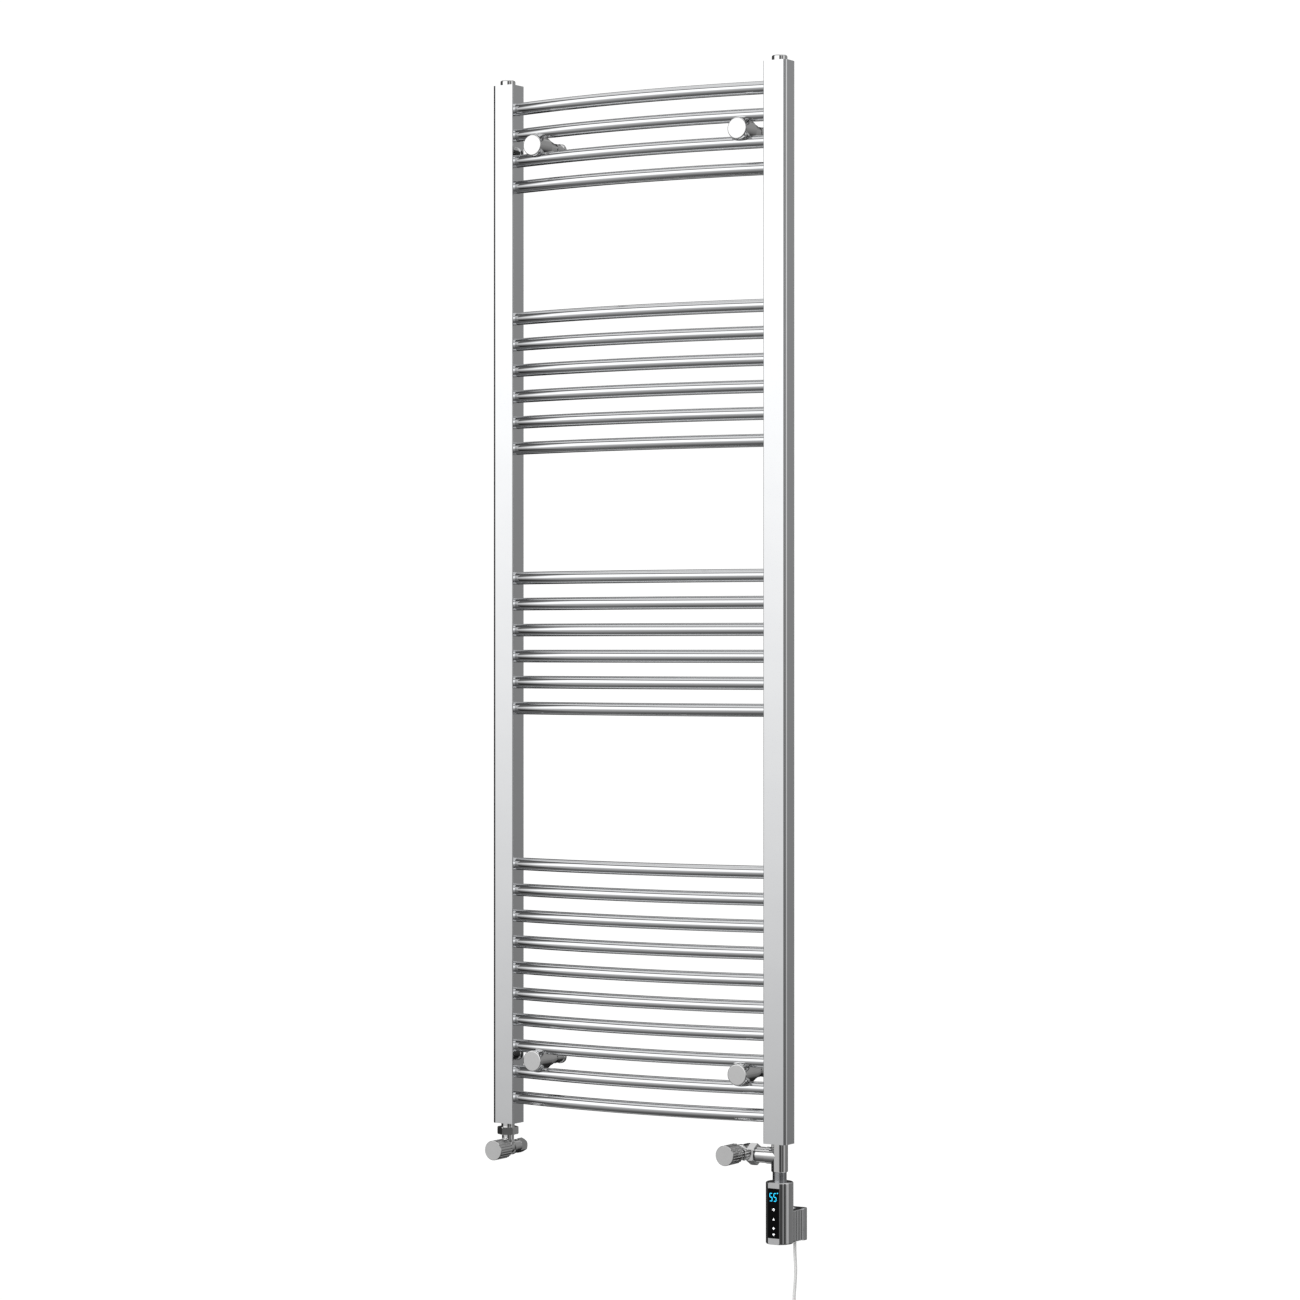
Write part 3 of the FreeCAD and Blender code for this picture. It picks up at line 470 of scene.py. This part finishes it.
def plate(mesh, shape, centreX, centreZ):
    raised = display["front"] - display["relief"]
    front = [mesh.verts.new((centreX + x * mm, raised, centreZ + z * mm)) for x, z in shape]
    back = [mesh.verts.new((centreX + x * mm, display["front"], centreZ + z * mm)) for x, z in shape]
    mesh.faces.new(front)
    mesh.faces.new(list(reversed(back)))
    for k in range(len(shape)):
        nextOne = (k + 1) % len(shape)
        mesh.faces.new((front[k], back[k], back[nextOne], front[nextOne]))


def segment(x0, z0, x1, z1, stroke):
    along = Vector((x1 - x0, z1 - z0)).normalized() * stroke / 2
    over = Vector((-along.y, along.x))
    a, b = Vector((x0, z0)), Vector((x1, z1))
    points = [a + along * 0.3, a + along * 1.2 + over, b - along * 1.2 + over,
              b - along * 0.3, b - along * 1.2 - over, a + along * 1.2 - over]
    return [(p.x + display["slant"] * p.y, p.y) for p in points]


glassMiddle = (glassLow.x + glassHigh.x) / 2
digitMesh = bmesh.new()
halfW, halfH = display["digitWidth"] / 2, display["digitHeight"] / 2
digitZ = glassHigh.z - display["digitDrop"] * mm
for offset in display["digitOffsets"]:
    for x0, z0, x1, z1 in (
        (-halfW, halfH, halfW, halfH), (-halfW, halfH, -halfW, 0), (-halfW, 0, halfW, 0),
        (halfW, 0, halfW, -halfH), (-halfW, -halfH, halfW, -halfH),
    ):
        plate(digitMesh, segment(x0, z0, x1, z1, display["stroke"]), glassMiddle + offset * mm, digitZ)
across, up, radius = display["degree"]
degree = [(radius * math.cos(k * math.pi / 6), radius * math.sin(k * math.pi / 6)) for k in range(12)]
plate(digitMesh, degree, glassMiddle + across * mm, digitZ + up * mm)
pieceFrom("displayDigits", digitMesh, litDigits)

symbolMesh = bmesh.new()
size = display["keySize"]
shapes = {
    "up": [(-size, -size * 0.8), (size, -size * 0.8), (0, size)],
    "mode": [(0, size * 1.15), (-size, 0), (0, -size * 1.15), (size, 0)],
    "down": [(-size * 0.7, size * 0.8), (-size, size * 0.3), (0, -size),
             (size, size * 0.3), (size * 0.7, size * 0.8)],
}
for key, drop in display["keys"]:
    keyZ = glassHigh.z - drop * mm
    if key in shapes:
        plate(symbolMesh, shapes[key], glassMiddle, keyZ)
        continue
    for k in range(20):     # the power key's ring, with a short bar through its top
        a0, a1 = (2 * math.pi * (k + n) / 20 for n in (0, 1))
        quarter = ((size, a0), (size, a1), (size * 0.62, a1), (size * 0.62, a0))
        plate(symbolMesh, [(r * math.cos(a), r * math.sin(a)) for r, a in quarter], glassMiddle, keyZ)
    plate(symbolMesh, [(-0.5, 0), (0.5, 0), (0.5, size * 1.1), (-0.5, size * 1.1)], glassMiddle, keyZ)
pieceFrom("keySymbols", symbolMesh, litSymbols)
print("display drawn")


# Plug: a flat moulded body with finger ridges and a ribbed relief, on two sleeved pins. Depths are from its top.
plugLow, plugHigh = corners("mains_plug")
plug = {
    "around": 40,
    "relief": (0.0, 13.4),
    "reliefRadius": (3.6, 5.2),
    "reliefRibs": 5,
    "shoulder": (14.0, 24.5),
    "neck": (7.4, 6.2),
    "body": (17.7, 6.75),
    "bodyEnd": 46.0,
    "ridges": (27.0, 2.7, 5),   # first one, spacing, count
    "ridgeDepth": 0.7,
    "pinSpacing": 9.5,
    "pinRadius": 2.4,
    "sleeveEnd": 55.0,
}
tie = {"around": 96, "squareness": 0.3, "thickness": 1.4, "edge": 0.4, "buckle": (9.0, 4.4, 11.4)}


def outline(middle, halfX, halfY, z, squareness, count):
    ring = []
    for k in range(count):
        c, n = math.cos(2 * math.pi * k / count), math.sin(2 * math.pi * k / count)
        x = math.copysign(abs(c) ** squareness, c) * halfX
        y = math.copysign(abs(n) ** squareness, n) * halfY
        ring.append((middle.x + x * mm, middle.y + y * mm, z))
    return ring


def skin(mesh, rings, closed=False):
    made = [[mesh.verts.new(place) for place in ring] for ring in rings]
    pairs = list(zip(made, made[1:])) + ([(made[-1], made[0])] if closed else [])
    for upper, lower in pairs:
        for k in range(len(upper)):
            nextOne = (k + 1) % len(upper)
            mesh.faces.new((upper[k], lower[k], lower[nextOne], upper[nextOne]))
    if not closed:
        mesh.faces.new(made[0])
        mesh.faces.new(list(reversed(made[-1])))


def smoothPiece(name, mesh, finish, replaced=()):
    piece = pieceFrom(name, mesh, finish, replaced)
    piece.data.shade_smooth()
    piece.data.set_sharp_from_angle(angle=math.radians(38))
    return piece


plugMiddle = (plugLow + plugHigh) / 2


def plugRing(halfX, halfY, depth, squareness=1.0, shift=0.0):
    middle = plugMiddle + Vector((shift * mm, 0, 0))
    return outline(middle, halfX, halfY, plugHigh.z - depth * mm, squareness, plug["around"])


plugMesh = bmesh.new()
reliefRings = []
ribStep = (plug["relief"][1] - plug["relief"][0]) / plug["reliefRibs"]
for k in range(plug["reliefRibs"]):
    thin, thicker = plug["reliefRadius"]
    radius = thin + (thicker - thin) * k / (plug["reliefRibs"] - 1)
    depth = plug["relief"][0] + k * ribStep
    for share, less in ((0.0, 0.25), (0.12, 0.0), (0.55, 0.0), (0.68, 0.6), (0.94, 0.6)):
        reliefRings.append(plugRing(radius - less, radius - less, depth + share * ribStep))
neck, body = plug["neck"], plug["body"]
top, low = plug["shoulder"]
bodyRings = reliefRings + [plugRing(neck[0] - 1.2, neck[1] - 0.9, top - 0.2, 0.7)]
bodyRings.append(plugRing(*neck, top + 0.6, 0.6))
for share in (0.25, 0.5, 0.75, 0.9, 1.0):
    width = neck[0] + (body[0] - neck[0]) * math.sin(share * math.pi / 2) ** 1.15
    bodyRings.append(plugRing(width, neck[1] + (body[1] - neck[1]) * share, top + (low - top) * share, 0.45))
first, spacing, count = plug["ridges"]
for k in range(count):
    for share, less in ((0.0, 0.0), (0.12, 1.0), (0.45, 1.0), (0.57, 0.0)):
        cutIn = less * plug["ridgeDepth"]
        bodyRings.append(plugRing(body[0] - cutIn * 0.7, body[1] - cutIn, first + (k + share) * spacing, 0.38))
bodyRings.append(plugRing(*body, plug["bodyEnd"] - 1.2, 0.38))
bodyRings.append(plugRing(body[0] - 0.4, body[1] - 0.4, plug["bodyEnd"] - 0.35, 0.38))
bodyRings.append(plugRing(body[0] - 1.2, body[1] - 1.2, plug["bodyEnd"], 0.38))
skin(plugMesh, bodyRings)
pinMesh = bmesh.new()
pinEnd = (plugHigh.z - plugLow.z) / mm
for shift in (-plug["pinSpacing"], plug["pinSpacing"]):
    r = plug["pinRadius"]
    sleeve = [(r, plug["bodyEnd"] - 0.5), (r, plug["sleeveEnd"] - 0.2), (r - 0.2, plug["sleeveEnd"])]
    skin(plugMesh, [plugRing(radius, radius, depth, 1.0, shift) for radius, depth in sleeve])
    pin = [(r - 0.25, plug["sleeveEnd"] - 1), (r - 0.25, pinEnd - 1.8)]
    pin += [((r - 0.25) * math.cos(a), pinEnd - 1.8 + 1.8 * math.sin(a)) for a in (0.35, 0.7, 1.05, 1.35)]
    skin(pinMesh, [plugRing(radius, radius, depth, 1.0, shift) for radius, depth in pin])
plugBody = smoothPiece("plugBody", plugMesh, plugPvc, ["mains_plug"])
plugPins = smoothPiece("plugPins", pinMesh, chromeOnBrass)

# Tie: a nylon band drawn round the hank, with its small locking head in front.
tieLow, tieHigh = corners("cord_tie")
tieMiddle, tieHalf = (tieLow + tieHigh) / 2, (tieHigh - tieLow) / 2 / mm
tall, thick, edge = tieHalf.z, tie["thickness"], tie["edge"]
band = [(0, edge - tall), (0, tall - edge), (edge, tall), (thick - edge, tall),
        (thick, tall - edge), (thick, edge - tall), (thick - edge, -tall), (edge, -tall)]
tieMesh = bmesh.new()
bandRings = []
for inset, up in band:
    halfX, halfY = tieHalf.x - inset, tieHalf.y - inset
    bandRings.append(outline(tieMiddle, halfX, halfY, tieMiddle.z + up * mm, tie["squareness"], tie["around"]))
skin(tieMesh, bandRings, closed=True)
wide, deep, high = (value / 2 for value in tie["buckle"])
buckleMiddle = Vector((tieMiddle.x, tieLow.y, tieMiddle.z))
skin(tieMesh, [
    [(x, y + sink * mm, z) for x, y, z in
     outline(buckleMiddle, wide - less, deep - less, buckleMiddle.z + rise * mm, 0.35, 32)]
    for less, rise, sink in ((0.6, -high, 0), (0.0, 0.6 - high, 0), (0.0, high - 0.6, 0), (0.6, high, 0))
])
tieBand = smoothPiece("tieBand", tieMesh, tieNylon, ["cord_tie"])

finishPiece(mainsLead, ["mains_cord", "cord_hank"])
print("lead, tie and plug finished")


# Studio: plain pale floor, soft light.
studio = {
    "floorDrop": 0.10,
    "floorRadius": 1.5,
    "floorPlace": -0.3,     # along Y
    # brightness round the horizon by bearing: from behind by the left, the front and the right to behind
    "ring": [(-180, 0.28), (-162, 0.05), (-146, 0.04), (-58, 0.06), (-50, 1.25), (20, 1.25), (25, 0.15),
             (26.5, 0.27), (31, 0.27), (33, 0.13), (51, 0.13), (55, 0.60), (65, 0.60), (68, 0.09),
             (80, 0.09), (84, 0.75), (107, 0.75), (113, 0.26), (180, 0.30)],
    # brightness from straight down (-1) to straight up (1), as a share of the ring's: in front and behind
    "front": [(-1.0, 0.08), (-0.85, 0.09), (-0.74, 0.13), (-0.5, 0.24), (-0.3, 0.32),
              (-0.13, 0.42), (0.03, 0.84), (0.10, 1.0), (1.0, 1.0)],
    "behind": [(-1.0, 0.05), (-0.45, 0.06), (-0.30, 0.5), (-0.13, 0.72), (0.15, 1.0), (1.0, 1.0)],
    "turnToBack": (-0.1, 0.25),     # along Y, where front gives way to behind
    "steep": (0.52, 0.74),          # above and below this the bearing no longer counts
    # lowest and highest direction, softness of the edge, brightness
    "gap": (0.58, 0.73, 0.012, 0.08),
    "ceiling": (0.73, 1.2, 0.012, 0.74),
    "backStrip": (0.60, 0.75, 0.03, 0.50),
    "lowStrip": (-0.82, -0.70, 0.03, 0.55),
    "stripsFrom": (0.26, 2.0, 0.05),        # along Y
    "backdrop": 1.05,
    "lights": [("keyLight", (-2.2, -3.4, 2.2), 90, 1.8), ("fillLight", (2.8, -2.6, 0.4), 45, 1.6)],
}
floorMesh = bmesh.new()
bmesh.ops.create_circle(floorMesh, cap_ends=True, segments=96, radius=studio["floorRadius"])
floorLevel = cadBox[0][2] - studio["floorDrop"]
bmesh.ops.translate(floorMesh, verts=floorMesh.verts, vec=(0, studio["floorPlace"], floorLevel))
floorData = bpy.data.meshes.new("floor")
floorMesh.to_mesh(floorData)
floorMesh.free()
# Painted floor: matt off-white with a faint roller texture.
floorData.materials.append(plastic("paintedFloor", "#E9E9E8", "#E4E4E3", 0.6, 0.75, 3, 0.05))
floor = link(bpy.data.objects.new("floor", floorData))
floor.visible_glossy = False

world = bpy.data.worlds.new("studioWorld")
world.use_nodes = True
bpy.context.scene.world = world
tree = world.node_tree
tree.nodes.clear()
direction = addNode(tree, "ShaderNodeSeparateXYZ", {0: addNode(tree, "ShaderNodeTexCoord").outputs["Generated"]})
backward = addNode(tree, "ShaderNodeMath", {0: direction.outputs["Y"], 1: -1.0}, operation="MULTIPLY")
bearing = addNode(
    tree, "ShaderNodeMath", {0: direction.outputs["X"], 1: backward.outputs[0]}, operation="ARCTAN2"
)
around = addNode(
    tree, "ShaderNodeMapRange", {"Value": bearing.outputs[0], "From Min": -math.pi, "From Max": math.pi}
)
ringRamp = addNode(tree, "ShaderNodeValToRGB", {"Fac": around.outputs["Result"]})
fillRamp(ringRamp.color_ramp, [((angle + 180) / 360, level) for angle, level in studio["ring"]])
up = direction.outputs["Z"]
upward = addNode(tree, "ShaderNodeMapRange", {"Value": up, "From Min": -1.0, "From Max": 1.0})
heights = {}
for word in ("front", "behind"):
    heights[word] = addNode(tree, "ShaderNodeValToRGB", {"Fac": upward.outputs["Result"]})
    fillRamp(heights[word].color_ramp, [((height + 1) / 2, level) for height, level in studio[word]])
turnLow, turnHigh = studio["turnToBack"]
backness = addNode(
    tree, "ShaderNodeMapRange", {"Value": direction.outputs["Y"], "From Min": turnLow, "From Max": turnHigh}
)


def blendColour(kind, factor, a, b):
    mix = addNode(tree, "ShaderNodeMix", {"Factor": factor}, data_type="RGBA", blend_type=kind)
    tree.links.new(a, mix.inputs[6])
    tree.links.new(b, mix.inputs[7])
    return mix.outputs[2]


inFront, inBack = (heights[word].outputs["Color"] for word in ("front", "behind"))
height = blendColour("MIX", backness.outputs[0], inFront, inBack)


def blendIn(base, mask, level):
    mix = addNode(tree, "ShaderNodeMix", {"Factor": mask}, data_type="RGBA")
    tree.links.new(base, mix.inputs[6])
    mix.inputs[7].default_value = (level, level, level, 1)
    return mix.outputs[2]


def above(value, edge, soft):
    reach = {"Value": value, "From Min": edge - soft, "From Max": edge + soft}
    return addNode(tree, "ShaderNodeMapRange", reach)


def between(value, low, high, soft):
    ends = {0: above(value, low, soft).outputs[0], 1: above(value, high, soft).outputs[0]}
    return addNode(tree, "ShaderNodeMath", ends, operation="SUBTRACT").outputs[0]


steep = addNode(tree, "ShaderNodeMath", {0: up}, operation="ABSOLUTE")
steepLow, steepHigh = studio["steep"]
steepness = addNode(
    tree, "ShaderNodeMapRange", {"Value": steep.outputs[0], "From Min": steepLow, "From Max": steepHigh}
)
room = blendColour("MULTIPLY", 1.0, blendIn(ringRamp.outputs["Color"], steepness.outputs[0], 1.0), height)
for word in ("gap", "ceiling"):
    low, high, soft, level = studio[word]
    room = blendIn(room, between(up, low, high, soft), level)
behind = between(direction.outputs["Y"], *studio["stripsFrom"])
for word in ("backStrip", "lowStrip"):
    low, high, soft, level = studio[word]
    strip = addNode(tree, "ShaderNodeMath", {0: between(up, low, high, soft), 1: behind}, operation="MULTIPLY")
    room = blendIn(room, strip.outputs[0], level)
background = addNode(tree, "ShaderNodeBackground", {"Color": room, "Strength": 1.0})
plain = addNode(tree, "ShaderNodeBackground", {"Color": (1, 1, 1, 1), "Strength": studio["backdrop"]})
seen = addNode(tree, "ShaderNodeLightPath").outputs["Is Camera Ray"]
mixed = addNode(tree, "ShaderNodeMixShader", {0: seen, 1: background.outputs[0], 2: plain.outputs[0]})
addNode(tree, "ShaderNodeOutputWorld", {"Surface": mixed.outputs[0]})

for name, place, power, side in studio["lights"]:
    light = link(bpy.data.objects.new(name, bpy.data.lights.new(name, "AREA")))
    light.data.energy = power
    light.data.size = side
    light.location = place
    light.rotation_euler = (-Vector(place)).to_track_quat("-Z", "Y").to_euler()
    light.visible_glossy = False
print("studio lit")
